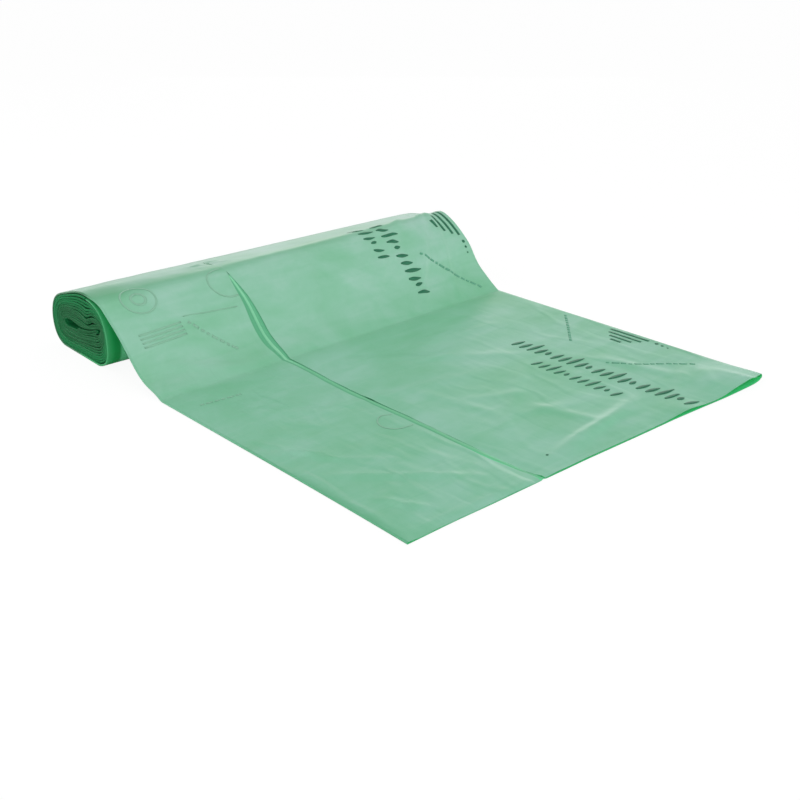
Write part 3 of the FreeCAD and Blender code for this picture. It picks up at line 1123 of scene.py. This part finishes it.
def white_room():
    """A white room, whose light is stronger from the sides than from above.

    Seen straight, it is plain white.
    """
    world = bpy.data.worlds.new("white_room")
    bpy.context.scene.world = world
    world.use_nodes = True
    tree = world.node_tree
    path = add(tree, "ShaderNodeLightPath")
    rays = [path.outputs["Is Camera Ray"], path.outputs["Is Transmission Ray"]]
    seen = add(tree, "ShaderNodeMath", rays, operation="MAXIMUM")
    toward = add(tree, "ShaderNodeTexCoord")
    parts = add(tree, "ShaderNodeSeparateXYZ", [toward.outputs["Generated"]])
    light = add(tree, "ShaderNodeMapRange", [parts.outputs[2], 0.08, 0.33, 2.0, 0.55])
    strength = add(tree, "ShaderNodeMix", {0: seen, 2: light, 3: 1.0}, data_type="FLOAT")
    background = tree.nodes["Background"]
    background.inputs["Color"].default_value = WHITE
    tree.links.new(strength.outputs[0], background.inputs["Strength"])


def lamps():
    """Large, soft lamps, aimed at the origin."""
    for name, place, side, power in LAMPS:
        lamp = bpy.data.lights.new(name, "AREA")
        lamp.size = side
        lamp.energy = power
        held = bpy.data.objects.new(name, lamp)
        held.location = place
        held.rotation_euler = (-Vector(place)).to_track_quat("-Z", "Y").to_euler()
        bpy.context.scene.collection.objects.link(held)


def camera():
    """The camera where the photograph was taken from."""
    lens = bpy.data.cameras.new("camera")
    lens.sensor_width = SENSOR
    lens.lens = LENS
    lens.clip_start, lens.clip_end = 0.01, 50
    held = bpy.data.objects.new("camera", lens)
    held.location = CAMERA_PLACE
    held.rotation_euler = [math.radians(angle) for angle in CAMERA_TURN]
    bpy.context.scene.collection.objects.link(held)
    bpy.context.scene.camera = held
    bpy.context.scene.view_settings.view_transform = "Standard"


def main():
    film = starch_film("starch_film")
    # painted light and shade on the outer turn under the drape
    shade = film_with_painted_drape_light("film_with_painted_light_under_the_drape")
    cut_edge = plain_film("film_cut_edge", ("56ac80", "66b88e"), 0.5)
    # Inside the web, seen in the slit and the mouth: a fuller green, lightened as painted light against the
    # shade in the slit, and painted brighter still near the free edge, as the light that comes in through
    # the film at the mouth.
    inside = plain_film("film_inside_with_painted_light", ("5ceda0", "60b98b"), 0.4, (0.03, 0.12))
    # The fold that stands up in the slit: a fuller green, painted lighter where the slit gapes down the
    # drape, as the highlight on its ridge.
    fold_line = plain_film("film_fold_in_the_slit_with_painted_highlight", ("70c594", "88d7aa"), 0.4, (0.38, 0.43))
    # The wound turns: a deep green of many layers of film, darkened further as painted shade in the hollow
    # and between the turns.
    deep_film = plain_film("film_in_the_roll_with_painted_shade", ("158048", "1f9155"), 0.45)
    end_edge = plain_film("film_edges_at_the_roll_end", ("1f6a3e", "18834a"), 0.7, (1.5, 2.5), gloss=0.15)
    ink = plain_film("dark_green_ink", ("126a49", "1b7652"), 0.5)
    fine_ink = plain_film("thin_green_ink", ("58a583", "66b090"), 0.5)
    faint_ink = plain_film("ink_behind_the_film", ("87bea1", "8cc2a6"), 0.45)

    web = Web(row_space=4.0)
    fine = section_columns(flap_space=4.0, base_space=12.0)
    coarse = section_columns(flap_space=9.0, base_space=30.0)
    pulled = thicken(folded_web("pulled_web", web, web.outlet_row, web.rows - 1, fine), FILM, inside=2)
    turned = thicken(folded_web("outer_turn", web, 0, web.outlet_row, coarse, UNDER_DRAPE), FILM)
    inner, wound_length = wound_turns()
    thicken(inner, TURN_THICKNESS)
    pieces = [
        (pulled, [film, cut_edge, inside, fold_line]),
        (turned, [film, film, shade, cut_edge]),
        (inner, [deep_film, end_edge]),
        (thicken(dark_marks(web), INK_THICKNESS), [ink]),
        (thicken(fine_marks(web), INK_THICKNESS), [fine_ink]),
        (thicken(faint_marks(web), INK_THICKNESS), [faint_ink]),
    ]
    for piece, materials in pieces:
        for material in materials:
            piece.data.materials.append(material)
        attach(piece, "root")
    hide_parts("bag_roll")
    pale_floor()
    white_room()
    lamps()
    camera()


main()
